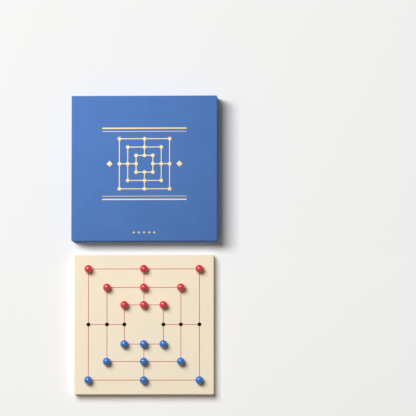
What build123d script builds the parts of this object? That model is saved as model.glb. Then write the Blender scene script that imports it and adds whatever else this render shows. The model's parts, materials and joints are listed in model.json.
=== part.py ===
from build123d import *
import os
from math import cos, radians, sin, sqrt, tan

# A nine mens morris set: a cloth-covered rigid box with a full-depth lift-off lid, and beside it
# the square peg board that is stowed in the box, with nine red and nine blue pegs in its holes.
# The origin is the centre of the closed box's underside, +Z up, +Y away from the board.

os.makedirs("parts", exist_ok=True)

# ---- The box, in millimetres ----------------------------------------------------------------
box_side = 200.0              # the lid's cloth, outside to outside
box_height = 38.0             # table to the top of the lid
corner_radius = 1.2           # upright corners of the covered box
edge_radius = 0.8             # the lid's top edges and the base's bottom edges
greyboard = 1.2               # board that the box is made of
cloth = 0.2                   # book cloth over it
lining_paper = 0.1            # paper pasted inside
turn_in = 15.0                # cloth folded over an edge and pasted down behind it
lid_gap = 0.35                # between the lid's turned-in cloth and the base, each side
lid_foot_gap = 2.5            # the lid stops this far above the table

# ---- The peg board --------------------------------------------------------------------------
board_thickness = 12.0
board_well_gap = 0.35         # between the stowed board and the base's turned-in cloth, each side
board_corner_radius = 1.0
board_edge_radius = 0.6
board_paper = 0.2             # printed paper over the top and sides
board_turn_under = 12.0       # that paper folded under the board
box_to_board = 17.7           # clear space between the box and the board laid beside it
board_aside = -1.5            # the laid board's middle is this far from the box's, along X
stow_headroom = 2.7           # above the board when it lies in the box on the insert

# ---- The mill figure ------------------------------------------------------------------------
ring_shares = (0.796, 0.530, 0.2804)   # the three squares' sides, as parts of the board's side
line_width = 0.55
line_depth = 0.1              # the ink lies flush in the paper
hole_diameter = 5.5
hole_depth = 7.6

# ---- The pegs -------------------------------------------------------------------------------
ball_diameter = 11.0
shoulder_diameter = 6.4       # flat turned under the ball, which seats on the board
shank_diameter = 5.0
shank_length = 7.0
shank_chamfer = 0.6

# ---- The formed insert ----------------------------------------------------------------------
insert_wall = 0.8
insert_gap = 0.35             # between the insert's foot and the base's lining, each side
draft_angle = 4.0             # every upright wall leans by this much, in degrees
insert_corner = 5.0
lip_radius = 1.2              # rounded edge where a wall meets the insert's top
well_side_rim = 10.0          # flat left between a peg well and the insert's side edge
well_end_rim = 19.0           # and its end edge
well_web = 11.0               # flat left between a peg well and the booklet's recess
peg_well_corner = 8.0
well_floor_radius = 3.0       # where a peg well's walls meet its floor
booklet_recess_gap = 2.0      # round the rules booklet
booklet_recess_depth = 2.4
recess_corner = 3.0
thumb_scoop_diameter = 28.0
thumb_scoop_depth = 9.0
scoop_ledge = 3.0             # the recess's round bay reaches this far past the scoop
bay_blend_radius = 6.0        # where a bay's outline runs into the recess's end

# ---- The rules booklet ----------------------------------------------------------------------
booklet_width = 74.0
booklet_length = 105.0
cover_paper = 0.25
pages_thickness = 0.9
page_inset = 0.4              # the trimmed pages stop short of the cover's edges

# ---- Worked out from the above --------------------------------------------------------------
# The lid, from its cloth inwards and downwards
lid_inside_side = box_side - 2 * (cloth + greyboard)
lid_mouth_side = lid_inside_side - 2 * cloth
lid_ceiling = box_height - cloth - greyboard
lid_turn_in_top = lid_foot_gap + cloth + turn_in

# The base stands inside the lid, and the lid's lining rests on its rim
base_side = lid_mouth_side - 2 * lid_gap
base_rim = lid_ceiling - lining_paper
base_inside_side = base_side - 2 * (cloth + greyboard)
base_mouth_side = base_inside_side - 2 * cloth
base_floor = cloth + greyboard
base_turn_in_foot = base_rim - cloth - turn_in
underside_sheet_side = base_side - 2 * turn_in

# The board drops into the base, onto the insert
board_side = base_mouth_side - 2 * board_well_gap
board_centre_y = -(box_side / 2 + box_to_board + board_side / 2)
ring_half_sides = [share * board_side / 2 for share in ring_shares]
board_backing_side = board_side - 2 * board_turn_under

# The insert fills the base up to the stowed board
insert_floor = base_floor + lining_paper
insert_top = base_rim - stow_headroom - board_thickness
insert_foot_side = base_inside_side - 2 * (lining_paper + insert_gap)
insert_height = insert_top - insert_floor
insert_top_side = insert_foot_side - 2 * insert_height * tan(radians(draft_angle))
booklet_thickness = 2 * cover_paper + pages_thickness
booklet_floor = insert_top - booklet_recess_depth
recess_width = booklet_width + 2 * booklet_recess_gap
recess_length = booklet_length + 2 * booklet_recess_gap
peg_well_length = insert_top_side - 2 * well_end_rim
peg_well_width = (insert_top_side - recess_width) / 2 - well_side_rim - well_web
peg_well_centre_x = (recess_width + peg_well_width) / 2 + well_web

# A ball's centre stands this far above its flat shoulder
ball_radius = ball_diameter / 2
ball_centre_height = sqrt(ball_radius**2 - (shoulder_diameter / 2)**2)


def square_prism(side, low, high, corner=0.0):
    """A square block about the upright axis, from one height to another."""
    outline = RectangleRounded(side, side, corner) if corner else Rectangle(side, side)
    return Pos(0, 0, low) * extrude(outline, high - low)


def edges_at(solid, height):
    """The edges of a solid that lie in one level plane."""
    return solid.edges().filter_by_position(Axis.Z, height - 0.001, height + 0.001)


# ---- The lid --------------------------------------------------------------------------------
def lid_block(inset):
    """The lid's outside as a solid block, moved inwards by the cloth's thickness or by nothing."""
    top = box_height - inset
    block = square_prism(box_side - 2 * inset, lid_foot_gap + inset, top, corner_radius - inset)
    return fillet(edges_at(block, top), edge_radius - inset)


def make_lid():
    """Greyboard, the cloth wrapped over it and turned in at the mouth, and the paper lining."""
    hollow = square_prism(lid_inside_side, lid_foot_gap, lid_ceiling)
    board = lid_block(cloth) - hollow
    above_turn_in = square_prism(lid_inside_side, lid_turn_in_top, lid_ceiling)
    mouth = square_prism(lid_mouth_side, lid_foot_gap, lid_turn_in_top)
    wrap = lid_block(0) - board - above_turn_in - mouth
    lined_side = lid_inside_side - 2 * lining_paper
    liner = above_turn_in - square_prism(lined_side, lid_turn_in_top, lid_ceiling - lining_paper)
    return {"lid_greyboard": board, "lid_cloth_wrap": wrap, "lid_liner": liner}


# ---- The base -------------------------------------------------------------------------------
def base_block(inset):
    """The base's outside as a solid block, moved inwards by the cloth's thickness or by nothing."""
    block = square_prism(base_side - 2 * inset, inset, base_rim - inset, corner_radius - inset)
    return fillet(edges_at(block, inset), edge_radius - inset)


def make_base():
    """Greyboard, its cloth turned in at the rim and under the floor, the lining and the underside."""
    board = base_block(cloth) - square_prism(base_inside_side, base_floor, base_rim)
    below_turn_in = square_prism(base_inside_side, base_floor, base_turn_in_foot)
    mouth = square_prism(base_mouth_side, base_turn_in_foot, base_rim)
    underside = square_prism(underside_sheet_side, 0, cloth)
    wrap = base_block(0) - board - below_turn_in - mouth - underside
    lined_side = base_inside_side - 2 * lining_paper
    liner = below_turn_in - square_prism(lined_side, base_floor + lining_paper, base_turn_in_foot)
    return {
        "base_greyboard": board,
        "base_cloth_wrap": wrap,
        "base_liner": liner,
        "base_underside_sheet": underside,
    }


# ---- The formed insert ----------------------------------------------------------------------
def skin_step(skin):
    """How far a leaning wall's outline moves in the top plane when its face moves by skin."""
    lean = radians(draft_angle)
    return skin * (1 - sin(lean)) / cos(lean)


def pocket(outline, depth, skin):
    """A drafted pocket, sunk from the insert's top, whose outline is already grown by the skin."""
    mouth = Pos(0, 0, insert_top - skin) * outline
    return extrude(mouth, depth, dir=(0, 0, -1), taper=draft_angle)


def peg_well(centre_x, skin):
    """One of the two long wells for loose pegs, rounded where its walls meet the floor."""
    grow = skin_step(skin)
    outline = RectangleRounded(peg_well_width + 2 * grow, peg_well_length + 2 * grow,
                               peg_well_corner + grow)
    depth = insert_height - insert_wall
    well = pocket(Pos(centre_x, 0) * outline, depth, skin)
    if skin:
        return well
    return fillet(edges_at(well, insert_top - depth), well_floor_radius)


def booklet_pockets(skin):
    """A shallow recess with a round bay at each end, and a deeper thumb scoop inside each bay."""
    bay_radius = thumb_scoop_diameter / 2 + scoop_ledge
    outline = RectangleRounded(recess_width, recess_length, recess_corner)
    for end in (-1, 1):
        outline += Pos(0, end * recess_length / 2) * Circle(bay_radius)
    junctions = outline.vertices().filter_by(lambda corner: abs(corner.X) < 1.1 * bay_radius)
    outline = fillet(junctions, bay_blend_radius)
    if skin:
        outline = offset(outline, skin_step(skin))
    pockets = pocket(outline, booklet_recess_depth, skin)
    for end in (-1, 1):
        scoop = Circle(thumb_scoop_diameter / 2 + skin_step(skin))
        pockets += pocket(Pos(0, end * recess_length / 2) * scoop, thumb_scoop_depth, skin)
    return pockets


def insert_form(skin):
    """The insert's upper face as a solid, or with a skin the same face moved into the material."""
    top_side = insert_top_side - 2 * skin_step(skin)
    top = Pos(0, 0, insert_top - skin) * RectangleRounded(top_side, top_side, insert_corner - skin)
    form = extrude(top, insert_height - skin, dir=(0, 0, -1), taper=-draft_angle)
    for side in (-1, 1):
        form -= peg_well(side * peg_well_centre_x, skin)
    form -= booklet_pockets(skin)
    if skin:
        return form
    return fillet(edges_at(form, insert_top), lip_radius)


def make_insert():
    """A thin sheet formed over a mould: the upper form less the same form one wall further in."""
    return {"insert_tray": insert_form(0) - insert_form(insert_wall)}


# ---- The rules booklet ----------------------------------------------------------------------
def make_booklet():
    """A folded cover, open on three sides, round a block of pages that starts at its spine."""
    cover = extrude(Rectangle(booklet_width, booklet_length), booklet_thickness)
    gap_width = booklet_width - cover_paper
    gap = extrude(Rectangle(gap_width, booklet_length), pages_thickness)
    cover -= Pos(cover_paper / 2, 0, cover_paper) * gap
    page_width = gap_width - page_inset
    pages = extrude(Rectangle(page_width, booklet_length - 2 * page_inset), pages_thickness)
    page_centre_x = (cover_paper - page_inset) / 2
    place = Pos(0, 0, booklet_floor)
    return {
        "rules_cover": place * cover,
        "rules_pages": place * Pos(page_centre_x, 0, cover_paper) * pages,
    }


# ---- The board ------------------------------------------------------------------------------
def ring_points(half_side):
    """The eight points of one square of the mill figure: its corners and the middles of its sides."""
    steps = (-half_side, 0, half_side)
    return [(x, y) for y in reversed(steps) for x in steps if (x, y) != (0, 0)]


def board_block(inset):
    """The board's outside as a solid block, moved inwards by the paper's thickness or by nothing."""
    top = board_thickness - inset
    block = square_prism(board_side - 2 * inset, inset, top, board_corner_radius - inset)
    return fillet(edges_at(block, top) + edges_at(block, inset), board_edge_radius - inset)


def mill_figure():
    """Three squares and the four spokes from the outer one to the inner, as ink of real depth."""
    low = board_thickness - line_depth
    outer = ring_half_sides[0]
    inner = ring_half_sides[-1]
    figure = Part()
    for half_side in ring_half_sides:
        figure += square_prism(2 * half_side + line_width, low, board_thickness) \
            - square_prism(2 * half_side - line_width, low, board_thickness)
    spoke = Pos((outer + inner) / 2, 0, low) * extrude(Rectangle(outer - inner, line_width), line_depth)
    for quarter in range(4):
        figure += Rot(0, 0, 90 * quarter) * spoke
    return figure


def make_board():
    """A panel drilled right through on a thin floor panel, the printed paper, ink and backing sheet."""
    hole_floor = board_thickness - hole_depth
    hole = Pos(0, 0, hole_floor) * Cylinder(
        hole_diameter / 2, hole_depth, align=(Align.CENTER, Align.CENTER, Align.MIN))
    points = [point for half_side in ring_half_sides for point in ring_points(half_side)]
    holes = Part() + [Pos(x, y) * hole for x, y in points]
    backing = square_prism(board_backing_side, 0, board_paper)
    lines = mill_figure() - holes
    core = board_block(board_paper)
    below_holes = square_prism(board_side, 0, hole_floor)
    wrap = board_block(0) - core - backing - holes - lines
    place = Pos(board_aside, board_centre_y)
    return {
        "board_core": place * (core - below_holes - holes),
        "board_floor_panel": place * (core & below_holes),
        "board_wrap": place * wrap,
        "board_backing": place * backing,
        "mill_lines": place * lines,
    }


# ---- The pegs -------------------------------------------------------------------------------
def turned_peg():
    """A peg as it comes off the lathe, its flat shoulder at height nought and its axis upright."""
    shoulder = shoulder_diameter / 2
    shank = shank_diameter / 2
    ball_top = ball_centre_height + ball_radius
    with BuildSketch(Plane.XZ) as profile:
        with BuildLine():
            Polyline((0, ball_top), (0, -shank_length), (shank - shank_chamfer, -shank_length),
                     (shank, shank_chamfer - shank_length), (shank, 0), (shoulder, 0))
            ThreePointArc((shoulder, 0), (ball_radius, ball_centre_height), (0, ball_top))
        make_face()
    return revolve(profile.sketch, Axis.Z)


def make_pegs():
    """Red pegs on the nine points of the three upper rows, blue on those of the three lower."""
    peg = turned_peg()
    pegs = {}
    for colour, end, rings in (("red", 1, ring_half_sides), ("blue", -1, ring_half_sides[::-1])):
        number = 0
        for half_side in rings:
            for x in (-half_side, 0, half_side):
                number += 1
                place = Pos(board_aside + x, board_centre_y + end * half_side, board_thickness)
                pegs[f"{colour}_peg_{number}"] = place * peg
    return pegs


for make in (make_lid, make_base, make_insert, make_booklet, make_board, make_pegs):
    for name, solid in make().items():
        solid.label = name
        export_step(solid, f"parts/{name}.step")

print(f"box {box_side:.1f} x {box_side:.1f} x {box_height:.1f}, base {base_side:.2f} square")
print(f"board {board_side:.2f} square, centre at {board_aside:.2f}, {board_centre_y:.2f}, rings",
      *[f"{half_side:.3f}" for half_side in ring_half_sides])
print(f"insert {insert_floor:.2f} to {insert_top:.2f}, booklet on {booklet_floor:.2f}")
print(f"peg wells {peg_well_width:.2f} x {peg_well_length:.2f} at x {peg_well_centre_x:.2f}")
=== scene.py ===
import json
import math
import bmesh
import bpy
import numpy as np
from mathutils import Matrix, Vector

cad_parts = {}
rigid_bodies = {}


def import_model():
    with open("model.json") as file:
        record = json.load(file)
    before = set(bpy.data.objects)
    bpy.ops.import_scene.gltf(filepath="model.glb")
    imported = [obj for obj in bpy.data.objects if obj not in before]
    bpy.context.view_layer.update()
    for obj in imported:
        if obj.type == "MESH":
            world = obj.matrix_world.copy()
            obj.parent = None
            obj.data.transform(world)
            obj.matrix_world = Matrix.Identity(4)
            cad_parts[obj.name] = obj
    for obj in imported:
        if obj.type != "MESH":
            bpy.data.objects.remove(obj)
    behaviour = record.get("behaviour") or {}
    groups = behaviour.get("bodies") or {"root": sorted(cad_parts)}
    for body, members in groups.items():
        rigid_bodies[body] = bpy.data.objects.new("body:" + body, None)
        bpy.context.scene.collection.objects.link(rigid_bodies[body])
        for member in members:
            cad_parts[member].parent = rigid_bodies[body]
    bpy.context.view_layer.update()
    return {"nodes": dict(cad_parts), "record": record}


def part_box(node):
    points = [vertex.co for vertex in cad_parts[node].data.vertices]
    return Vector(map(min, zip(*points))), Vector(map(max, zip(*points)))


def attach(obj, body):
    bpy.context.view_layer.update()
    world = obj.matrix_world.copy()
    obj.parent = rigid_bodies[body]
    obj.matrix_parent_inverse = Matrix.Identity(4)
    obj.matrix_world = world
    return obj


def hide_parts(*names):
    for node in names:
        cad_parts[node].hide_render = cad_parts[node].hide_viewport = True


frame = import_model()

nodes = frame["nodes"]
link = bpy.context.scene.collection.objects.link
mm = 0.001
mergeDistance = 0.0005 * mm  # points nearer than this are one point
flatSpan = 0.6  # metres of flat cloth in one unit of its map


# Surfaces: arrays of points on a grid, and the faces between them

def gridFaces(rows, columns, closedRows=False, closedColumns=True):
    # each face joins four neighbours of a grid; a closed direction joins its last line to its first
    index = np.arange(rows * columns).reshape(rows, columns)
    if closedRows:
        index = np.vstack([index, index[:1]])
    if closedColumns:
        index = np.hstack([index, index[:, :1]])
    corners = [index[:-1, :-1], index[:-1, 1:], index[1:, 1:], index[1:, :-1]]
    return np.stack(corners, axis=-1).reshape(-1, 4)


def gridsOf(points):
    # several closed grids, as copies by rows by columns, and their faces: one grid's faces, counted on
    # by its points for each copy
    copies, rows, columns = points.shape[:3]
    faces = gridFaces(rows, columns) + rows * columns * np.arange(copies)[:, None, None]
    return points, faces.reshape(-1, 4)


def flatGrid(x, y):
    return np.dstack(np.meshgrid(x, y))


def raised(plan, height):
    # points in space from their places seen from above and their heights
    height = np.broadcast_to(height, plan.shape[:-1])
    return np.concatenate([plan, height[..., None]], axis=-1)


def joinShapes(*shapes):
    # several shapes as one, each one's faces counted on by the points before it
    offsets = np.cumsum([0] + [points.size // 3 for points, faces in shapes[:-1]])
    points = np.vstack([points.reshape(-1, 3) for points, faces in shapes])
    faces = np.vstack([faces + offset for (points, faces), offset in zip(shapes, offsets)])
    return points, faces


def line(start, end, steps, crowd=1.0):
    # evenly spaced points from start to end; with crowd above 1 they gather towards the end
    along = 1 - (1 - np.linspace(0, 1, steps)) ** crowd
    return np.array(start) + (np.array(end) - np.array(start)) * along[:, None]


def circle(angle):
    return np.column_stack([np.cos(angle), np.sin(angle)])


def arc(centre, radius, first, last, steps):
    # centre plus radius times cosine and sine, from the first angle to the last, in degrees
    return np.array(centre) + radius * circle(np.radians(np.linspace(first, last, steps)))


def squareOutline(stations, cornerSteps):
    # once round a square of half side 1: each side at the given stations, then its corner, where the
    # point stays and the outward direction turns by a quarter
    cores, outwards = [], []
    turn = np.linspace(0, math.pi / 2, cornerSteps + 1)[1:-1]
    for quarter in range(4):
        angle = quarter * math.pi / 2
        normal = circle(angle)[0]
        along = np.array([-normal[1], normal[0]])
        cores += [normal + stations[:, None] * along, np.tile(normal + along, (len(turn), 1))]
        outwards += [np.tile(normal, (len(stations), 1)), circle(angle + turn)]
    return np.vstack(cores), np.vstack(outwards)


def wrappedSquare(profile, cornerRadius, stations, cornerSteps, closed=False):
    # a profile of distances and heights carried round a square: a point is the square's core, drawn in
    # by the corner radius left at that distance, plus that radius times the outward direction.
    # Flat is where the point lies on the sheet before it is folded: the same core, but as far out
    # as the length of the profile so far
    core, outward = squareOutline(stations, cornerSteps)
    reach, height = profile[:, 0], profile[:, 1]
    corner = np.clip(cornerRadius - (reach.max() - reach), 0, None)
    inner = (reach - corner)[:, None, None]
    plan = core * inner + outward * corner[:, None, None]
    points = raised(plan, height[:, None])
    length = reach[0] + np.append(0, np.cumsum(np.hypot(*np.diff(profile, axis=0).T)))
    flat = core * inner + outward * (length[:, None, None] - inner)
    faces = gridFaces(len(profile), len(core), closedRows=closed)
    return points, faces, flat, outward


def turned(profile, centres, segments):
    # a profile of radii and heights turned about upright axes: centre plus radius times cosine and sine
    ring = circle(np.linspace(0, 2 * math.pi, segments, endpoint=False))
    plan = profile[:, None, :1] * ring + centres[:, None, None]
    return gridsOf(raised(plan, profile[:, 1:]))


def strips(starts, ends, width, low, high, soften):
    # flat bars from starts to ends: a section with softened upper edges carried along each line, whose
    # first and last rows shrink to the middle of the section and close it
    half = width / 2
    across = np.array([-half, -half, soften - half, half - soften, half, half])
    up = np.array([low, high - soften, high, high, high - soften, low])
    run = ends - starts
    unit = run / np.linalg.norm(run, axis=1)[:, None]
    side = np.column_stack([-unit[:, 1], unit[:, 0]])
    step = np.array([0.0, 0.0, 1.0, 1.0])
    keep = np.array([0.0, 1.0, 1.0, 0.0])
    plan = (starts[:, None, None] + run[:, None, None] * step[:, None, None]
            + side[:, None, None] * (keep[:, None] * across)[..., None])
    return gridsOf(raised(plan, up.mean() + keep[:, None] * (up - up.mean())))


def waves(points, wavelength, seed, count=7):
    # a smooth random field between about -1 and 1: a sum of sines in seeded directions
    random = np.random.default_rng(seed)
    direction = random.normal(size=(count, points.shape[-1]))
    direction /= np.linalg.norm(direction, axis=1)[:, None]
    pitch = 2 * math.pi / (wavelength * random.uniform(0.6, 1.6, count))
    phase = random.uniform(0, 2 * math.pi, count)
    return np.sin(points @ direction.T * pitch + phase).sum(-1) / math.sqrt(count) / 1.2


def ramp(value, start, end):
    # nought before start, one after end, with a smooth rise between
    part = np.clip((value - start) / (end - start), 0, 1)
    return part * part * (3 - 2 * part)


def addPiece(name, points, faces, material, body, replaced=(), flat=None, smoothAngle=40):
    # the arrays become one mesh at the origin; flat, where given, is its map of the unfolded sheet
    mesh = bpy.data.meshes.new(name)
    points = points.reshape(-1, 3)
    mesh.from_pydata(points.tolist(), [], faces.tolist())
    if flat is not None:
        layer = mesh.uv_layers.new(name="flatSheet")
        layer.data.foreach_set("uv", (0.5 + flat.reshape(-1, 2)[faces.ravel()] / flatSpan).ravel())
    finishPiece(name, mesh, material, body, replaced, smoothAngle)


def finishPiece(name, mesh, material, body, replaced, smoothAngle):
    # doubled points are merged, faces turned outwards and edges flatter than the angle made smooth
    work = bmesh.new()
    work.from_mesh(mesh)
    bmesh.ops.remove_doubles(work, verts=work.verts, dist=mergeDistance)
    bmesh.ops.dissolve_degenerate(work, edges=work.edges, dist=mergeDistance)
    bmesh.ops.recalc_face_normals(work, faces=work.faces)
    work.to_mesh(mesh)
    work.free()
    mesh.shade_smooth()
    mesh.set_sharp_from_angle(angle=math.radians(smoothAngle))
    mesh.materials.clear()
    mesh.materials.append(material)
    piece = bpy.data.objects.new(name, mesh)
    link(piece)
    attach(piece, body)
    if replaced:
        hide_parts(*replaced)


# Shader maths: Python operators on a socket add the Math nodes

def mathNode(operation, swapped=False):
    # a method that feeds a value and any others to one Math node
    def method(value, *others):
        parts = (*others, value) if swapped else (value, *others)
        return value.shader.node("Math", {"operation": operation}, dict(enumerate(parts)))
    return method


class Value:
    def __init__(self, shader, socket):
        self.shader, self.socket = shader, socket

    __add__ = __radd__ = mathNode("ADD")
    __mul__ = __rmul__ = mathNode("MULTIPLY")
    __sub__, __rsub__ = mathNode("SUBTRACT"), mathNode("SUBTRACT", swapped=True)
    __pow__, __abs__ = mathNode("POWER"), mathNode("ABSOLUTE")
    sine, root = mathNode("SINE"), mathNode("SQRT")
    above, larger, smaller = mathNode("GREATER_THAN"), mathNode("MAXIMUM"), mathNode("MINIMUM")

    def rise(self, start, end):
        # nought below start, one above end, smooth between
        smooth = {"interpolation_type": "SMOOTHSTEP"}
        return self.shader.node("MapRange", smooth, {0: self, 1: start, 2: end})

    def fall(self, start, end):
        # one below start, nought above end
        return 1 - self.rise(start, end)


class Shader:
    # the node tree of a material or of the world, and the few node helpers that the finishes share
    def __init__(self, owner):
        owner.use_nodes = True
        self.owner = owner
        self.tree = owner.node_tree
        self.tree.nodes.clear()

    def node(self, kind, settings=None, sockets=None, output=0):
        made = self.tree.nodes.new("ShaderNode" + kind)
        for name, value in (settings or {}).items():
            setattr(made, name, value)
        for name, value in (sockets or {}).items():
            self.feed(made.inputs[name], value)
        return Value(self, made.outputs[output])

    def feed(self, socket, value):
        if isinstance(value, Value):
            self.tree.links.new(value.socket, socket)
        else:
            socket.default_value = (*value, 1.0) if socket.type == "RGBA" else value

    def place(self):
        return self.node("TexCoord", output="Object")

    def parts(self, vector):
        split = self.node("SeparateXYZ", None, {0: vector}).socket.node
        return [Value(self, socket) for socket in split.outputs]

    def stretched(self, vector, scale):
        return self.node("VectorMath", {"operation": "MULTIPLY"}, {0: vector, 1: scale})

    def noise(self, vector, scale, detail=2.0, roughness=0.5):
        sockets = {"Vector": vector, "Scale": scale, "Detail": detail, "Roughness": roughness}
        return self.node("TexNoise", None, sockets)

    def fibres(self, vector, scales, *details):
        # noise drawn out: the lower its scale in a direction, the longer it is that way
        return self.noise(self.stretched(vector, scales), 1, *details)

    def blend(self, factor, first, second):
        # a colour between first and second
        return self.node("Mix", {"data_type": "RGBA"}, {0: factor, 6: first, 7: second}, output=2)

    def tinted(self, colour, value, shades):
        # a colour times the first shade where the value is nought, and times the second where it is one
        dark, light = [tuple(min(part * shade, 1.0) for part in colour) for shade in shades]
        return self.blend(value, dark, light)

    def relief(self, height, depth, strength=0.5):
        sockets = {"Strength": strength, "Distance": depth, "Height": height}
        return self.node("Bump", None, sockets)

    def finish(self, **sockets):
        # underscores in a name stand for the spaces of the shader's own socket names
        sockets = {name.replace("_", " "): value for name, value in sockets.items()}
        return self.show(self.node("BsdfPrincipled", None, sockets), "OutputMaterial")

    def show(self, surface, outputKind):
        output = self.tree.nodes.new("ShaderNode" + outputKind)
        self.feed(output.inputs["Surface"], surface)
        return self.owner


def newMaterial(name):
    return Shader(bpy.data.materials.new(name))


# The board's measures, and its figure as its pegs' places give it

def middleOf(node):
    # the middle of a CAD node, seen from above
    low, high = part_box(node)
    return np.array([(low.x + high.x) / 2, (low.y + high.y) / 2])


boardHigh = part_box("board_wrap")[1]
boardTop = boardHigh.z
boardCentre = middleOf("board_wrap")
boardHalf = boardHigh.x - boardCentre[0]
ringSizes = [abs(middleOf(f"red_peg_{number}")[0] - boardCentre[0]) for number in (1, 4, 7)]
compass = np.array([[-1, -1], [0, -1], [1, -1], [1, 0], [1, 1], [0, 1], [-1, 1], [-1, 0]], float)


def millPoints(sizes):
    # the corners and side middles of each square
    return np.vstack([compass * size for size in sizes])


def millLines(sizes, gap):
    # every line of the figure from point to point, its ends held back by gap
    starts = [compass * size for size in sizes]
    ends = [np.roll(compass, -1, axis=0) * size for size in sizes]
    for outer, inner in zip(sizes[:-1], sizes[1:]):
        starts.append(compass[1::2] * outer)
        ends.append(compass[1::2] * inner)
    starts, ends = np.vstack(starts), np.vstack(ends)
    unit = (ends - starts) / np.linalg.norm(ends - starts, axis=1)[:, None]
    return starts + unit * gap, ends - unit * gap


# The book cloth of the lid and the base

bookCloth = {
    "colour": (0.0915, 0.208, 0.528),
    "shades": (0.74, 1.24),  # its darkest and lightest tone, times the colour
    "rubbed": (0.20, 0.34, 0.63),
    "threadPitch": 0.44 * mm,
    "threadDepth": 0.035 * mm,
    "drift": 0.25 * mm,  # how far threads wander from their lines
    "driftScale": 260,
    "slub": 0.60,
    "slubScales": (1900, 90),  # across a thread and along it
    "mottleScale": 28,
    "scuffScale": 420,
    "scuff": (0.48, 0.72),
    "cornerWear": (0.2 * mm, 1.6 * mm),  # wear fades between these distances from the corners,
    "sideWear": (0.3 * mm, 1.2 * mm),  # from the sides
    "rimWear": (0.1 * mm, 1.0 * mm),  # and from the heights of the edges
    "roughness": 0.40,
}


def bookClothMaterial(name, edgeHeights, halfSide):
    # plain weave: threads one way show where the product of two sines is above nought, the other way
    # elsewhere, each with a rounded top; slubs are noise drawn out along the threads
    cloth = newMaterial(name)
    sheet = cloth.node("UVMap", {"uv_map": "flatSheet"})
    sheet = cloth.stretched(sheet, (flatSpan, flatSpan, 0))
    u, v = cloth.parts(sheet)[:2]
    drift = cloth.noise(sheet, bookCloth["driftScale"]) * bookCloth["drift"]
    turn = math.pi / bookCloth["threadPitch"]
    warpWave = ((u + drift) * turn).sine()
    weftWave = ((v - drift) * turn).sine()
    warpTop = (1 - warpWave * warpWave).root()
    weftTop = (1 - weftWave * weftWave).root()
    over = (warpWave * weftWave).rise(-0.25, 0.25)
    weave = warpTop * over + weftTop * (1 - over)
    short, long = bookCloth["slubScales"]
    slub = (cloth.fibres(sheet, (short, long, 1)) * over
            + cloth.fibres(sheet, (long, short, 1)) * (1 - over))
    mottle = cloth.noise(sheet, bookCloth["mottleScale"], 3)
    tone = (weave * 0.35 + slub * bookCloth["slub"] + mottle * 0.25).rise(0.15, 1.15)
    colour = cloth.tinted(bookCloth["colour"], tone, bookCloth["shades"])

    # it is rubbed pale where two sides meet, and along the edges at the given heights
    place = cloth.place()
    x, y, z = cloth.parts(place)
    fromSide = halfSide - abs(x).larger(abs(y))
    fromCorner = halfSide - abs(x).smaller(abs(y))
    edge = fromCorner.fall(*bookCloth["cornerWear"])
    for height in edgeHeights:
        near = abs(z - height).fall(*bookCloth["rimWear"])
        edge = edge.larger(near * fromSide.fall(*bookCloth["sideWear"]))
    scuff = cloth.noise(place, bookCloth["scuffScale"], 4, 0.65).rise(*bookCloth["scuff"])
    wear = edge * (0.06 + scuff * 0.3)
    return cloth.finish(
        Base_Color=cloth.blend(wear, colour, bookCloth["rubbed"]),
        Roughness=bookCloth["roughness"] + mottle * 0.08 - wear * 0.08,
        Specular_IOR_Level=0.0,
        Normal=cloth.relief(weave * 0.7 + slub * 0.5, bookCloth["threadDepth"], 0.9))


# The lid

lidLow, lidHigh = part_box("lid_cloth_wrap")
lidLinerLow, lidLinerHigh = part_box("lid_liner")
lid = {
    "edgeRadius": 0.9 * mm,
    "cornerRadius": 1.3 * mm,
    "footRadius": 0.55 * mm,
    "fineFrom": 0.8,  # the grid is finer from this part of the half side outwards
    "unevenness": 0.05 * mm,
    "unevenLength": 90 * mm,  # the length of its waves
    "flatBorder": (90 * mm, 98 * mm),  # it fades out between these distances from the middle
    "tabReach": 9.1 * mm,  # side flaps run this far round the corners, under the end flaps
    "tabSlant": 0.35,  # and this much further for each unit down the wall
    "tabFade": 0.7 * mm,
    "tabRise": 0.13 * mm,
    "tabInset": (0.2 * mm, 1.4 * mm),  # the rise begins between these distances from the corner,
    "tabDrop": (0.3 * mm, 1.6 * mm),  # and between these below the top
}


def lidClothProfile(wall, cloth):
    # half a section through the lid's cloth: out over the top, down, round the foot, up inside to the
    # end of the turn-in, and back along its pasted side. Each run's count of points comes after its ends
    half, top, foot = lidHigh.x, lidHigh.z, lidLow.z
    edge, turn = lid["edgeRadius"], lid["footRadius"]
    inner, turnInEnd = half - wall, lidLinerLow.z
    outside = [
        line((0, top), (half - edge, top), 30, 1.6),
        arc((half - edge, top - edge), edge, 90, 0, 8),
        line((half, top - edge), (half, foot + turn), 22),
        arc((half - turn, foot + turn), turn, 0, -90, 5),
        arc((inner + turn, foot + turn), turn, -90, -180, 5),
        line((inner, foot + turn), (inner, turnInEnd), 6),
    ]
    pasted = [
        line((inner + cloth, turnInEnd), (inner + cloth, foot + cloth), 3),
        line((half - cloth, foot + cloth), (half - cloth, top - cloth), 4),
        line((half - 2 * edge, top - cloth), (0, top - cloth), 3),
    ]
    outside = np.vstack(outside)
    return np.vstack([outside, *pasted]), len(outside)


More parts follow.
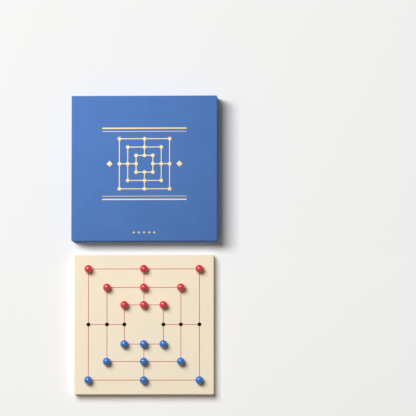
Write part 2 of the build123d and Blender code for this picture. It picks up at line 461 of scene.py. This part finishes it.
def buildLid():
    cloth = lidHigh.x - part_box("lid_greyboard")[1].x
    wall = lidHigh.x - lidLinerHigh.x + cloth
    profile, outsideRows = lidClothProfile(wall, cloth)
    towardsCorner = np.linspace(lid["fineFrom"], 1, 12)
    between = np.linspace(-lid["fineFrom"], lid["fineFrom"], 26)[1:-1]
    stations = np.concatenate([-towardsCorner[::-1], between, towardsCorner])
    points, faces, flat, outward = wrappedSquare(profile, lid["cornerRadius"], stations, 8)
    x, y, z = points[..., 0], points[..., 1], points[..., 2]
    outside = np.arange(len(profile))[:, None] < outsideRows

    # the top is a little uneven: slow waves, faded out towards its edges
    onTop = outside & (z > lidHigh.z - 0.2 * mm)
    inner = 1 - ramp(np.maximum(abs(x), abs(y)), *lid["flatBorder"])
    sink = (waves(points, lid["unevenLength"], 3) + 1.4) * lid["unevenness"] * inner
    points[..., 2] -= np.where(onTop, sink, 0)

    # the tabs under the cloth stand out beside the corners, as far as a slanting line
    onEnds = outside & (abs(outward[:, 1]) > 0.9)[None] & (abs(y) > lidHigh.y - 0.3 * mm)
    fromCorner, fromTop = lidHigh.x - abs(x), lidHigh.z - z
    reach = fromCorner - lid["tabSlant"] * fromTop
    tab = 1 - ramp(reach, lid["tabReach"] - lid["tabFade"], lid["tabReach"])
    tab = tab * ramp(fromCorner, *lid["tabInset"]) * ramp(fromTop, *lid["tabDrop"])
    points[..., 1] -= np.where(onEnds, np.sign(y) * (1 - tab) * lid["tabRise"], 0)
    material = bookClothMaterial("lidBookCloth", [lidHigh.z, lidLow.z], lidHigh.x)
    addPiece("lidCloth", points, faces, material, "lid", ("lid_cloth_wrap",), flat)


# The foil ornament stamped on the lid: the game's own figure between two rules

foil = {
    "colour": (0.88, 0.73, 0.38),
    "shades": (0.86, 1.08),
    "speckScale": 1500,
    "broadScale": 60,
    "centre": (0.4 * mm, 6.0 * mm),
    "height": 0.05 * mm,
    "depth": 0.16 * mm,  # its bars reach this far down, below the uneven cloth
    "soften": 0.02 * mm,
    "figureSizes": (34.5 * mm, 23 * mm, 11.5 * mm),
    "lineWidth": 1.25 * mm,
    "lineDrop": 0.01 * mm,  # lines lie this much lower than their dots
    "lineGap": 0.3 * mm,  # and end this far before the dots' middles
    "dotRadius": 2.5 * mm,
    "dotSoften": 0.03 * mm,
    "ruleHalfLength": 58 * mm,
    "ruleHeights": (49 * mm, 44.6 * mm, -44.6 * mm, -49 * mm),
    "ruleWidths": (1.7 * mm, 0.7 * mm, 0.7 * mm, 1.7 * mm),
    "besidePlace": 48 * mm,  # a diamond at each side of the figure
    "besideSize": 4.2 * mm,
    "footPlaces": (-14 * mm, -7 * mm, 0.0, 7 * mm, 14 * mm),  # and a row of small ones near the front
    "footRow": -88.5 * mm,
    "footSize": 1.7 * mm,
    "diamondSlope": 0.06,  # how much of a diamond its rim's slope takes
}


def foilMaterial():
    # pale gold pigment foil: the cloth's weave prints through as fine breaks and a soft relief
    leaf = newMaterial("paleFoil")
    place = leaf.place()
    x, y = leaf.parts(place)[:2]
    turn = math.pi / bookCloth["threadPitch"]
    weave = abs((x * turn).sine() * (y * turn).sine())
    speck = leaf.noise(place, foil["speckScale"], 3, 0.6)
    broad = leaf.noise(place, foil["broadScale"])
    tone = (weave * 0.3 + speck * 0.5 + broad * 0.4).rise(0.2, 1.0)
    return leaf.finish(
        Base_Color=leaf.tinted(foil["colour"], tone, foil["shades"]),
        Roughness=0.45 + speck * 0.12, Metallic=0.1, Specular_IOR_Level=0.3,
        Normal=leaf.relief(weave, 0.02 * mm, 0.6))


def plates(centres, radius, low, high, inset, drop, segments):
    # discs turned about each centre, the upper rim cut by inset and drop; with four segments, diamonds
    profile = [(0, high), (radius - inset, high), (radius, high - drop), (radius, low), (0, low)]
    return turned(np.array(profile), centres, segments)


def diamonds(centres, size, low, high):
    return plates(centres, size, low, high, foil["diamondSlope"] * size, foil["soften"], 4)


def buildFoil():
    low, high = lidHigh.z - foil["depth"], lidHigh.z + foil["height"]
    centre = np.array(foil["centre"])
    starts, ends = millLines(foil["figureSizes"], foil["lineGap"])
    dots = millPoints(foil["figureSizes"]) + centre
    shapes = [
        strips(starts + centre, ends + centre, foil["lineWidth"], low, high - foil["lineDrop"],
               foil["soften"]),
        plates(dots, foil["dotRadius"], low, high, foil["dotSoften"], foil["dotSoften"], 28),
    ]
    reach = foil["ruleHalfLength"]
    for rise, width in zip(foil["ruleHeights"], foil["ruleWidths"]):
        left, right = centre + [[-reach, rise]], centre + [[reach, rise]]
        shapes.append(strips(left, right, width, low, high, foil["soften"]))
    beside = centre + np.array([[-1, 0], [1, 0]]) * foil["besidePlace"]
    foot = np.array([(place, foil["footRow"]) for place in foil["footPlaces"]])
    shapes.append(diamonds(beside, foil["besideSize"], low, high))
    shapes.append(diamonds(foot, foil["footSize"], low, high))
    points, faces = joinShapes(*shapes)
    addPiece("lidFoilFigure", points, faces, foilMaterial(), "lid", smoothAngle=30)


# The base

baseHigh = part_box("base_cloth_wrap")[1]
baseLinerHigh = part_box("base_liner")[1]
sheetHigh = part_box("base_underside_sheet")[1]
base = {"edgeRadius": 0.8 * mm, "cornerRadius": 1.2 * mm, "rimRadius": 0.6 * mm}


def baseClothProfile(wall, cloth):
    # a closed section through the base's cloth: out under the floor, up the wall, over the rim, down to
    # the end of the turn-in, and back along its pasted side
    half, rim = baseHigh.x, baseHigh.z
    edge, turn = base["edgeRadius"], base["rimRadius"]
    inner, turnInEnd = half - wall, baseLinerHigh.z
    return np.vstack([
        line((sheetHigh.x, 0), (half - edge, 0), 4),
        arc((half - edge, edge), edge, -90, 0, 8),
        line((half, edge), (half, rim - turn), 16),
        arc((half - turn, rim - turn), turn, 0, 90, 6),
        arc((inner + turn, rim - turn), turn, 90, 180, 6),
        line((inner, rim - turn), (inner, turnInEnd), 6),
        line((inner + cloth, turnInEnd), (inner + cloth, rim - cloth), 3),
        line((half - cloth, rim - cloth), (half - cloth, edge), 3),
        line((half - 2 * edge, cloth), (sheetHigh.x, cloth), 3),
    ])


def buildBase():
    cloth = baseHigh.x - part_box("base_greyboard")[1].x
    wall = baseHigh.x - baseLinerHigh.x + cloth
    profile = baseClothProfile(wall, cloth)
    stations = np.linspace(-1, 1, 40)
    points, faces, flat = wrappedSquare(profile, base["cornerRadius"], stations, 8, closed=True)[:3]
    material = bookClothMaterial("baseBookCloth", [baseHigh.z, 0.0], baseHigh.x)
    addPiece("baseCloth", points, faces, material, "box_base", ("base_cloth_wrap",), flat)


# Boards and papers of the box that keep their CAD shapes

paper = {
    "lining": (0.80, 0.77, 0.70),
    "liningShades": (0.90, 1.06),
    "fibreScales": (1400, 260, 700),
    "crossScales": (240, 1300, 700),
    "mottleScale": 90,
    "grey": (0.36, 0.335, 0.30),
    "greyShades": (0.75, 1.2),
    "pulpScale": 300,
    "fleck": (0.12, 0.10, 0.09),
    "fleckScale": 900,
    "fleckSize": (0.08, 0.2),  # as parts of the distance from one to the next
}


def liningPaperMaterial(name, colour):
    # uncoated paper: short fibres as stretched noise in two directions over a soft mottle
    sheet = newMaterial(name)
    place = sheet.place()
    fibres = sheet.fibres(place, paper["fibreScales"], 3, 0.6)
    crossFibres = sheet.fibres(place, paper["crossScales"], 3, 0.6)
    mottle = sheet.noise(place, paper["mottleScale"], 3)
    tone = (fibres * 0.4 + crossFibres * 0.4 + mottle * 0.4).rise(0.3, 0.95)
    return sheet.finish(
        Base_Color=sheet.tinted(colour, tone, paper["liningShades"]),
        Roughness=0.82 + mottle * 0.1,
        Normal=sheet.relief(fibres + crossFibres, 0.03 * mm))


def greyboardMaterial():
    # pulp board: dark flecks of recycled fibre over a grey-brown ground
    pulp = newMaterial("greyboardPulp")
    place = pulp.place()
    ground = pulp.noise(place, paper["pulpScale"], 4, 0.7)
    colour = pulp.tinted(paper["grey"], ground, paper["greyShades"])
    spots = {"Vector": pulp.stretched(place, (1.0, 1.4, 2.2)), "Scale": paper["fleckScale"]}
    flecks = pulp.node("TexVoronoi", None, spots).fall(*paper["fleckSize"])
    return pulp.finish(
        Base_Color=pulp.blend(flecks * 0.5, colour, paper["fleck"]), Roughness=0.9,
        Normal=pulp.relief(ground, 0.08 * mm, 0.6))


def dressNode(node, material):
    nodes[node].data.materials.clear()
    nodes[node].data.materials.append(material)


def dressBoxBoards():
    grey = greyboardMaterial()
    lining = liningPaperMaterial("liningPaper", paper["lining"])
    for node in ("lid_greyboard", "base_greyboard"):
        dressNode(node, grey)
    for node in ("lid_liner", "base_liner", "base_underside_sheet", "board_backing"):
        dressNode(node, lining)


# The formed insert

insert = {
    "colour": (0.80, 0.755, 0.66),
    "shades": (0.88, 1.05),
    "grainScale": 2600,
    "cloudScale": 35,
    "wallHeights": (2 * mm, 24 * mm),  # it grows paler between these heights
    "smoothAngle": 28,
}


def insertMaterial():
    # matt formed sheet: a fine grain from the mould, and slightly paler up the walls
    sheet = newMaterial("formedSheet")
    place = sheet.place()
    grain = sheet.noise(place, insert["grainScale"], 3, 0.6)
    cloud = sheet.noise(place, insert["cloudScale"], 3)
    height = sheet.parts(place)[2].rise(*insert["wallHeights"])
    tone = (grain * 0.35 + cloud * 0.4 + height * 0.3).rise(0.15, 0.95)
    return sheet.finish(
        Base_Color=sheet.tinted(insert["colour"], tone, insert["shades"]),
        Roughness=0.48 + grain * 0.14, Normal=sheet.relief(grain, 0.03 * mm))


def buildInsert():
    # the CAD node's own shape with its loose triangles merged, so that its rounded walls shade smoothly
    mesh = nodes["insert_tray"].data.copy()
    finishPiece("insertTray", mesh, insertMaterial(), "box_base", ("insert_tray",),
                insert["smoothAngle"])


# The rules booklet

coverLow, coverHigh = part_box("rules_cover")
pagesLow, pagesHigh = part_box("rules_pages")
booklet = {
    "cover": (0.075, 0.185, 0.455),
    "coverShades": (0.85, 1.12),
    "print": (0.86, 0.82, 0.66),
    "cracked": (0.80, 0.80, 0.78),
    "foldWidth": (0.1 * mm, 1.3 * mm),  # cracks fade out between these distances from the fold
    "figureScale": 0.33,
    "figureRise": 6 * mm,
    "figureHalfLine": 0.35 * mm,
    "figureDot": 1.3 * mm,
    "figureSoften": 0.06 * mm,
    "borderInset": 4 * mm,
    "borderHalfLine": 0.3 * mm,
    "printDepth": 0.35 * mm,  # only the cover's face is printed, down to here
    "pages": (0.86, 0.84, 0.78),
    "leaves": 6,
    "leafShare": 0.82,  # how much of its own step a leaf fills
    "leafInset": 0.3 * mm,
    "spring": 0.5 * mm,  # the free edge of the cover stands open by this much
    "staple": (0.62, 0.62, 0.64),
    "staplePlaces": (0.25, 0.75),
    "stapleLength": 11 * mm,
    "stapleRadius": 0.22 * mm,
}


def figureMask(x, y, sizes):
    # one on the three squares, the four spokes and the dots of the figure, nought off them
    halfLine, dotRadius = booklet["figureHalfLine"], booklet["figureDot"]
    soften = booklet["figureSoften"]
    across, inward = abs(x).larger(abs(y)), abs(x).smaller(abs(y))
    mask = across.rise(sizes[-1], sizes[-1] + soften) * across.fall(sizes[0], sizes[0] + soften)
    mask = mask * inward.fall(halfLine, halfLine + soften)
    for size in sizes:
        mask = mask.larger(abs(across - size).fall(halfLine, halfLine + soften))
        corner = ((abs(x) - size) ** 2 + (abs(y) - size) ** 2).root()
        middle = ((across - size) ** 2 + inward ** 2).root()
        mask = mask.larger(corner.smaller(middle).fall(dotRadius, dotRadius + soften))
    return mask


def coverMaterial():
    # coated paper with the figure and a border printed pale on blue, cracked white along the fold
    cover = newMaterial("bookletCover")
    place = cover.place()
    x, y, z = cover.parts(place)
    middle = middleOf("rules_cover")
    across, up = x - middle[0], y - middle[1]
    sizes = [size * booklet["figureScale"] for size in ringSizes]
    printed = figureMask(across, up - booklet["figureRise"], sizes)
    fromRight = abs(across) - (coverHigh.x - middle[0])
    fromTop = abs(up) - (coverHigh.y - middle[1])
    border = abs(fromRight.larger(fromTop) + booklet["borderInset"])
    halfLine = booklet["borderHalfLine"]
    printed = printed.larger(border.fall(halfLine, halfLine + booklet["figureSoften"]))
    printed = printed * z.above(coverHigh.z - booklet["printDepth"])
    speck = cover.noise(place, 900, 3)
    colour = cover.tinted(booklet["cover"], speck, booklet["coverShades"])
    colour = cover.blend(printed, colour, booklet["print"])
    fold = (x - coverLow.x).fall(*booklet["foldWidth"])
    crack = fold * cover.noise(place, 1600, 4, 0.7).rise(0.5, 0.62)
    return cover.finish(
        Base_Color=cover.blend(crack, colour, booklet["cracked"]),
        Roughness=0.42 + crack * 0.3, Normal=cover.relief(speck, 0.015 * mm, 0.4))


def sheetSection(inside, outside, bottom, top, thickness, roundSteps):
    # a folded sheet's section: in along the top to the fold, round it and out along the bottom, then
    # the same way back one thickness further in
    radius = (top - bottom) / 2
    fold, middle = inside + radius, (top + bottom) / 2
    ways = []
    for inset in (0, thickness):
        ways.append(np.vstack([line((outside, top - inset), (fold, top - inset), 14),
                               arc((fold, middle), radius - inset, 90, 270, roundSteps)[1:-1],
                               line((fold, bottom + inset), (outside, bottom + inset), 8)]))
    return np.vstack([ways[0], ways[1][::-1]])


def carriedAlongY(section, stations):
    # a closed section carried along Y, with its end rows drawn together to close it
    rows = np.concatenate([stations[:1], stations, stations[-1:]])
    keep = np.ones(len(rows))
    keep[[0, -1]] = 0
    middle = section.mean(0)
    drawn = middle + keep[:, None, None] * (section - middle)
    points = np.dstack([drawn[..., 0], np.broadcast_to(rows[:, None], drawn.shape[:2]), drawn[..., 1]])
    return points, gridFaces(len(rows), len(section))


def buildBooklet():
    thickness = pagesLow.z - coverLow.z
    low, high = coverLow.y, coverHigh.y
    middle = (coverLow.z + coverHigh.z) / 2

    def opened(points):
        # how far a sheet stands open: nought at the fold, growing as the square towards the free edge
        away = (points[..., 0] - coverLow.x) / (coverHigh.x - coverLow.x)
        return booklet["spring"] * np.clip(away, 0, 1) ** 2

    # the upper half of the fold opens, more at one corner
    section = sheetSection(coverLow.x, coverHigh.x, coverLow.z, coverHigh.z, thickness, 9)
    points, faces = carriedAlongY(section, np.linspace(low, high, 24))
    height = points[..., 2]
    askew = 0.8 + 0.2 * (points[..., 1] - low) / (high - low)
    height += np.where(height > middle, opened(points) * askew, 0)
    cover = coverMaterial()
    addPiece("rulesCover", points, faces, cover, "box_base", ("rules_cover",))

    # the leaves lie a little apart and are trimmed at one line
    leaves = []
    count = booklet["leaves"]
    step = (pagesHigh.z - pagesLow.z) / count
    inside = pagesLow.x + booklet["leafInset"]
    for number in range(count):
        bottom = pagesLow.z + number * step
        top = bottom + step * booklet["leafShare"]
        section = np.vstack([line((inside, top), (pagesHigh.x, top), 12),
                             line((pagesHigh.x, bottom), (inside, bottom), 12)])
        points, faces = carriedAlongY(section, np.linspace(pagesLow.y, pagesHigh.y, 14))
        points[..., 2] += opened(points) * 0.7 * (number + 1) / count
        leaves.append((points, faces))
    points, faces = joinShapes(*leaves)
    pages = liningPaperMaterial("bookletPages", booklet["pages"])
    addPiece("rulesPages", points, faces, pages, "box_base", ("rules_pages",))
    buildStaples(middle)


def buildStaples(middle):
    # each staple is a thin rod against the fold: a circle carried along Y whose radius falls to nought
    # at both ends, where the wire bends into the paper
    radius = booklet["stapleRadius"]
    angle = np.linspace(0, 2 * math.pi, 12, endpoint=False)
    along = np.linspace(-1, 1, 17)
    swell = radius * np.sqrt(np.clip(1 - along ** 8, 0, 1))[:, None]
    x = coverLow.x + radius * 0.4 + swell * np.cos(angle)
    z = middle + swell * np.sin(angle)
    faces = gridFaces(len(along), len(angle))
    rods = []
    for place in booklet["staplePlaces"]:
        centreY = coverLow.y + (coverHigh.y - coverLow.y) * place
        y = np.broadcast_to(centreY + along[:, None] * booklet["stapleLength"] / 2, x.shape)
        rods.append((np.dstack([x, y, z]), faces))
    wire = newMaterial("stapleWire")
    drawn = wire.fibres(wire.place(), (4000, 300, 4000))
    material = wire.finish(
        Base_Color=wire.tinted(booklet["staple"], drawn, (0.8, 1.1)), Metallic=1.0,
        Roughness=0.25 + drawn * 0.15)
    points, faces = joinShapes(*rods)
    addPiece("rulesStaples", points, faces, material, "box_base")


# The peg board

board = {
    "cream": (0.925, 0.818, 0.625),
    "creamShades": (0.975, 1.02),
    "rubbed": (0.55, 0.43, 0.28),
    "sideWear": (0.2 * mm, 0.9 * mm),  # wear fades between these distances from the sides
    "topWear": (0.1 * mm, 1.4 * mm),  # and between these below the top
    "fibreScales": (700, 220, 700),
    "cloudScale": 22,
    "edgeRadius": 0.6 * mm,
    "cornerRadius": 1.0 * mm,
    "border": 6 * mm,  # the plain grid of the top ends this far from the sides
    "holeRadius": frame["record"]["mounts"][-1]["dims"]["r_mm"] * mm,
    "holeLip": 0.14 * mm,
    "holeCell": 5.0 * mm,  # half side of the square of paper worked round a hole
    "cellSteps": 8,
    "ink": (0.52, 0.050, 0.070),
    "inkShades": (0.85, 1.25),
    "inkWidth": 0.88 * mm,
    "inkRise": 0.015 * mm,
    "inkDepth": 0.05 * mm,  # the lines reach down to this height over the paper's back
    "inkGap": 0.1 * mm,
    # painted shade: the hole walls are near black, far darker than the floor panel's fibreboard,
    # standing in for the deep shade down the holes
    "core": (0.050, 0.026, 0.016),
    "holeFloor": (0.480, 0.270, 0.160),
    "coreShades": (0.6, 1.6),
    "coreScales": (900, 900, 2600),
    "drillPitch": 0.35 * mm,
}


def boardPaperMaterial():
    # satin printed paper: even cream with a faint fibre mottle, rubbed a little at the outer edges
    sheet = newMaterial("creamBoardPaper")
    place = sheet.place()
    x, y, z = sheet.parts(place)
    fibres = sheet.fibres(place, board["fibreScales"], 3, 0.6)
    cloud = sheet.noise(place, board["cloudScale"], 3)
    tone = (fibres * 0.4 + cloud * 0.6).rise(0.25, 0.8)
    colour = sheet.tinted(board["cream"], tone, board["creamShades"])
    fromSide = boardHalf - abs(x - boardCentre[0]).larger(abs(y - boardCentre[1]))
    edge = fromSide.fall(*board["sideWear"]) * (boardTop - z).fall(*board["topWear"])
    scuff = sheet.noise(place, 700, 4, 0.7).rise(0.46, 0.66)
    return sheet.finish(
        Base_Color=sheet.blend(edge * scuff * 0.5, colour, board["rubbed"]),
        Roughness=0.40 + fibres * 0.08, Specular_IOR_Level=0.0,
        Normal=sheet.relief(fibres, 0.012 * mm))


def inkMaterial():
    # printed line: a dusty red whose density varies along it
    ink = newMaterial("redInk")
    density = ink.noise(ink.place(), 1100, 3, 0.6)
    return ink.finish(
        Base_Color=ink.tinted(board["ink"], density, board["inkShades"]), Roughness=0.5,
        Specular_IOR_Level=0.3)


def coreMaterial(name, colour):
    # fibreboard seen down the drilled holes: fine fibres, and rings left by the drill
    core = newMaterial(name)
    place = core.place()
    fibres = core.fibres(place, board["coreScales"], 4, 0.7)
    rings = (core.parts(place)[2] * (2 * math.pi / board["drillPitch"]) + fibres * 3).sine()
    tone = (fibres * 0.7 + rings * 0.12 + 0.15).rise(0.2, 0.9)
    return core.finish(
        Base_Color=core.tinted(colour, tone, board["coreShades"]), Roughness=0.8,
        Specular_IOR_Level=0.05, Normal=core.relief(fibres, 0.05 * mm, 0.7))


def boardSheetWithHoles(reach, low):
    # a square grid, left open where a hole's own patch goes, for the paper's face and its pasted side
    cell, steps = board["holeCell"], board["cellSteps"]
    places = np.unique(np.round(np.concatenate([[0], ringSizes, np.negative(ringSizes)]), 7))
    fine = [np.linspace(place - cell, place + cell, steps + 1) for place in places]
    marks = [np.linspace(-reach, places[0] - cell, 4)[:-1]]
    for here, there in zip(fine[:-1], fine[1:]):
        marks += [here, np.linspace(here[-1], there[0], 5)[1:-1]]
    marks += [fine[-1], np.linspace(places[-1] + cell, reach, 4)[1:]]
    marks = np.concatenate(marks)
    middles = (marks[:-1] + marks[1:]) / 2
    apart = abs(flatGrid(middles, middles).reshape(-1, 1, 2) - millPoints(ringSizes)).max(-1)
    faces = gridFaces(len(marks), len(marks), closedColumns=False)[apart.min(1) > cell]
    return [(raised(flatGrid(marks, marks), level), faces) for level in (boardTop, low)], marks


def holePatches(low):
    # round each hole, rows go from the square cell's edge to the rim, over the rolled lip, down the
    # paper's thickness and back out underneath: a mix of the square and a circle, weight by weight
    cell, steps = board["holeCell"], board["cellSteps"]
    square = squareOutline(np.linspace(-1, 1, steps + 1)[:-1], 1)[0] * cell
    ring = circle(np.arctan2(square[:, 1], square[:, 0]))
    radius, lip = board["holeRadius"], board["holeLip"]
    rolled = arc((radius + lip, boardTop - lip), lip, 90, 180, 5)
    onFace = np.array([0, 0.3, 0.6, 0.85])
    same = np.ones(len(onFace))
    weight = np.concatenate([onFace, np.ones(len(rolled) + 1), onFace[::-1]])
    reach = np.concatenate([same * (radius + lip), rolled[:, 0], [radius], same * (radius + lip)])
    level = np.concatenate([same * boardTop, rolled[:, 1], [low], same * low])
    plan = (1 - weight)[:, None, None] * square + (weight * reach)[:, None, None] * ring
    centres = np.pad(millPoints(ringSizes), ((0, 0), (0, 1)))
    return gridsOf(raised(plan, level[:, None]) + centres[:, None, None])


def buildBoard():
    paperThickness = boardHigh.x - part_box("board_core")[1].x
    half, edge = boardHalf, board["edgeRadius"]
    pasted, low = half - paperThickness, boardTop - paperThickness
    reach = half - board["border"]
    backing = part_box("board_backing")[1].x - boardCentre[0]
    sheets, marks = boardSheetWithHoles(reach, low)
    profile = np.vstack([
        line((reach, boardTop), (half - edge, boardTop), 5),
        arc((half - edge, boardTop - edge), edge, 90, 0, 7),
        arc((half - edge, edge), edge, 0, -90, 7),
        line((half - edge, 0), (backing, 0), 4)[1:],
        line((backing, paperThickness), (half - 2 * edge, paperThickness), 3),
        line((pasted, 2 * edge), (pasted, boardTop - 2 * edge), 2),
        line((half - 2 * edge, low), (reach, low), 3),
    ])
    sides = wrappedSquare(profile, board["cornerRadius"], marks / reach, 6)[:2]
    points, faces = joinShapes(*sheets, holePatches(low), sides)
    points[:, :2] += boardCentre
    addPiece("boardPaper", points, faces, boardPaperMaterial(), "board", ("board_wrap",))

    starts, ends = millLines(ringSizes, board["holeRadius"] + board["inkGap"])
    points, faces = strips(starts + boardCentre, ends + boardCentre, board["inkWidth"],
                           low + board["inkDepth"], boardTop + board["inkRise"], 0.01 * mm)
    addPiece("boardInkLines", points, faces, inkMaterial(), "board", ("mill_lines",))
    # the core's near-black colour is painted shade down the holes; the floor panel keeps a plain
    # fibreboard brown
    dressNode("board_core", coreMaterial("boardCorePaintedShade", board["core"]))
    dressNode("board_floor_panel", coreMaterial("boardFloorFibre", board["holeFloor"]))


# The pegs

peg = {
    "red": (0.700, 0.012, 0.026),
    "blue": (0.004, 0.148, 0.560),
    "shades": (0.92, 1.08),
    "rippleScale": 330,
    "ripple": 0.008 * mm,
    "grainScales": (500, 500, 2400),
    "shankGap": 0.25 * mm,  # the shank is this much slimmer than its hole, all round
    "chamfer": 0.6 * mm,
    "soften": 0.12 * mm,
    "segments": 56,
}


def lacquerMaterial(name, colour):
    # dipped colour under clear lacquer, with a faint turned grain and a slow ripple
    coat = newMaterial(name)
    place = coat.place()
    ripple = coat.noise(place, peg["rippleScale"])
    grain = coat.fibres(place, peg["grainScales"])
    tone = (ripple * 0.5 + grain * 0.5).rise(0.25, 0.8)
    return coat.finish(
        Base_Color=coat.tinted(colour, tone, peg["shades"]), Roughness=0.30 + grain * 0.08,
        Specular_IOR_Level=0.05, Coat_Weight=1.0, Coat_Roughness=0.12, Coat_IOR=1.6,
        Normal=coat.relief(ripple, peg["ripple"]))


def pegProfile(low, high, radius):
    # from the crown down: a circle to the flat shoulder, in to the shank, down it and over its chamfer
    centre = high - radius
    shoulder = math.sqrt(radius ** 2 - (centre - boardTop) ** 2)
    soften, chamfer = peg["soften"], peg["chamfer"]
    shank = board["holeRadius"] - peg["shankGap"]
    lowest = -math.degrees(math.acos(shoulder / radius))
    return np.vstack([
        arc((0, centre), radius, 90, lowest, 34),
        line((shoulder - soften, boardTop), (shank + soften, boardTop), 3),
        line((shank, boardTop - soften), (shank, low + chamfer), 5),
        line((shank - chamfer, low), (0, low), 3),
    ])


def buildPegs():
    for colour in ("red", "blue"):
        material = lacquerMaterial(f"{colour}Lacquer", peg[colour])
        for number in range(1, 10):
            node = f"{colour}_peg_{number}"
            low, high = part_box(node)
            profile = pegProfile(low.z, high.z, (high.y - low.y) / 2)
            points, faces = turned(profile, middleOf(node)[None], peg["segments"])
            addPiece(f"{colour}Peg{number}", points, faces, material, node, (node,),
                     smoothAngle=50)


# Floor, light and camera

studio = {
    "middle": (87.7 * mm, -55.15 * mm, 38 * mm),  # the point in the middle of the picture
    "frameWidth": 416 * 1.3702 * mm,  # what the picture takes in at that point's height
    "cameraHeight": 4.5,
    "cameraLean": (0.0380, -0.0684),  # sideways per unit of height, towards the camera
    "floor": (0.955, 0.955, 0.955),
    "floorHalf": 6.0,
    "floorDrop": 0.02 * mm,  # the floor lies this much under everything that stands on it
    # each lamp's height, then per unit of it the lean to the left and the back and the two sides, and
    # last its share of the light that shows a colour as it is written
    "roomLamp": (6.0, (-0.43, 0.25), (0.63, 0.30), 0.85),
    "frontLamp": (6.0, (-0.45, 0.55), (0.75, 0.75), 0.900),
    "lidLamp": (0.6, (-0.38, 0.30), (0.60, 0.32), 0.895),
    "boardLamp": (2.5, (-0.54, 0.64), (0.85, 0.65), 0.905),
    "sky": 0.142,
    "skyColour": (1.08, 0.95, 0.76),
    "lampColour": (0.987, 1.0, 1.019),
    "backdrop": (0.88, 0.88, 0.88),  # how white the camera and clear reflections see the sky
}


def buildFloor():
    # a flat square, even as paper, in two parts that meet at the board's far edge, so that a lamp can
    # light the front part alone
    sweep = newMaterial("paleFloor")
    soft = sweep.noise(sweep.place(), 3)
    material = sweep.finish(
        Base_Color=sweep.tinted(studio["floor"], soft, (0.995, 1.0)),
        Roughness=0.95, Specular_IOR_Level=0.1)
    half, seam = studio["floorHalf"], boardHigh.y
    for name, near, far in (("floorFront", -half, seam), ("floorBack", seam, half)):
        plan = flatGrid(np.linspace(-half, half, 25), np.linspace(near, far, 13))
        points = raised(plan, -studio["floorDrop"]).reshape(-1, 3)
        faces = gridFaces(*plan.shape[:2], closedColumns=False)
        mesh = bpy.data.meshes.new(name)
        mesh.from_pydata(points.tolist(), [], faces.tolist())
        mesh.materials.append(material)
        floor = bpy.data.objects.new(name, mesh)
        link(floor)


def aim(thing, target, offset):
    # thing stands at the target plus the offset and looks back at it, its own X along the world's
    back = offset.normalized()
    side = Vector((0, 1, 0)).cross(back).normalized()
    thing.rotation_euler = Matrix((side, back.cross(side), back)).transposed().to_euler()
    thing.location = target + offset
    link(thing)


def linkedGroup(name, pieces, state):
    # a collection whose members count for a lamp, or are left out
    group = bpy.data.collections.new(name)
    for piece in pieces:
        group.objects.link(piece)
    for member in group.collection_objects:
        member.light_linking.link_state = state
    return group


def softBox(name, target, pieces, state):
    # its power gives its share of the light at which white paper renders white: pi squared times the
    # squared distance, over the cosine of the slant. It lights, or leaves out, only the pieces
    height, lean, sides, share = studio[name]
    offset = Vector((*lean, 1)) * height
    lamp = bpy.data.lights.new(name, "AREA")
    lamp.shape = "RECTANGLE"
    lamp.color = studio["lampColour"]
    lamp.size, lamp.size_y = sides[0] * height, sides[1] * height
    lamp.energy = share * math.pi ** 2 * offset.length_squared * offset.length / height
    holder = bpy.data.objects.new(name, lamp)
    aim(holder, target, offset)
    holder.light_linking.receiver_collection = linkedGroup(name + "Receivers", pieces, state)
    return holder


def buildLight():
    # far soft boxes light the floor's back and front evenly; lid and board each have a nearer lamp of
    # their own, so that their light falls off. Board and pegs alone shade the two in front
    things = bpy.data.objects
    lidPieces = [things[name] for name in ("lidCloth", "lidFoilFigure")]
    boardPieces = [nodes[name] for name in ("board_core", "board_floor_panel", "board_backing")]
    boardPieces += [thing for thing in things
                    if thing.name.startswith(("boardPaper", "boardInk", "redPeg", "bluePeg"))]
    front = [things["floorFront"]]
    middle = Vector(studio["middle"])
    softBox("roomLamp", middle, lidPieces + boardPieces + front, "EXCLUDE")
    softBox("lidLamp", Vector((0, 0, lidHigh.z)), lidPieces, "INCLUDE")
    shades = linkedGroup("frontShades", boardPieces, "INCLUDE")
    for lamp in (softBox("boardLamp", Vector((*boardCentre, boardTop)), boardPieces, "INCLUDE"),
                 softBox("frontLamp", middle, front, "INCLUDE")):
        lamp.light_linking.blocker_collection = shades

    # the sky lights evenly, and is seen white
    world = bpy.data.worlds.new("sky")
    bpy.context.scene.world = world
    sky = Shader(world)
    camera, glossy, clear = [sky.node("LightPath", output=f"Is {kind} Ray")
                             for kind in ("Camera", "Glossy", "Transmission")]
    seen = (camera + glossy + clear).smaller(1.0)
    even = sky.node("Background", None, {"Color": studio["skyColour"], "Strength": studio["sky"]})
    white = sky.node("Background", None, {"Color": studio["backdrop"], "Strength": 1.0})
    sky.show(sky.node("MixShader", None, {0: seen, 1: even, 2: white}), "OutputWorld")


def buildCamera():
    data = bpy.data.cameras.new("camera")
    data.sensor_width = 36  # in millimetres, as the lens is
    middle = Vector(studio["middle"])
    offset = Vector((*studio["cameraLean"], 1)) * (studio["cameraHeight"] - middle.z)
    data.lens = data.sensor_width * offset.length / studio["frameWidth"]
    data.clip_end = 40
    camera = bpy.data.objects.new("camera", data)
    aim(camera, middle, offset)
    bpy.context.scene.camera = camera


buildLid()
buildFoil()
print("lid: cloth and foil figure")
buildBase()
dressBoxBoards()
print("base: cloth, boards and lining papers")
buildInsert()
buildBooklet()
print("inside: formed insert and rules booklet")
buildBoard()
print("board: paper with holes, ink lines and core")
buildPegs()
print("pegs: nine red and nine blue")
buildFloor()
buildLight()
buildCamera()
bpy.context.scene.view_settings.view_transform = "Standard"
print("studio: floor, light and camera")
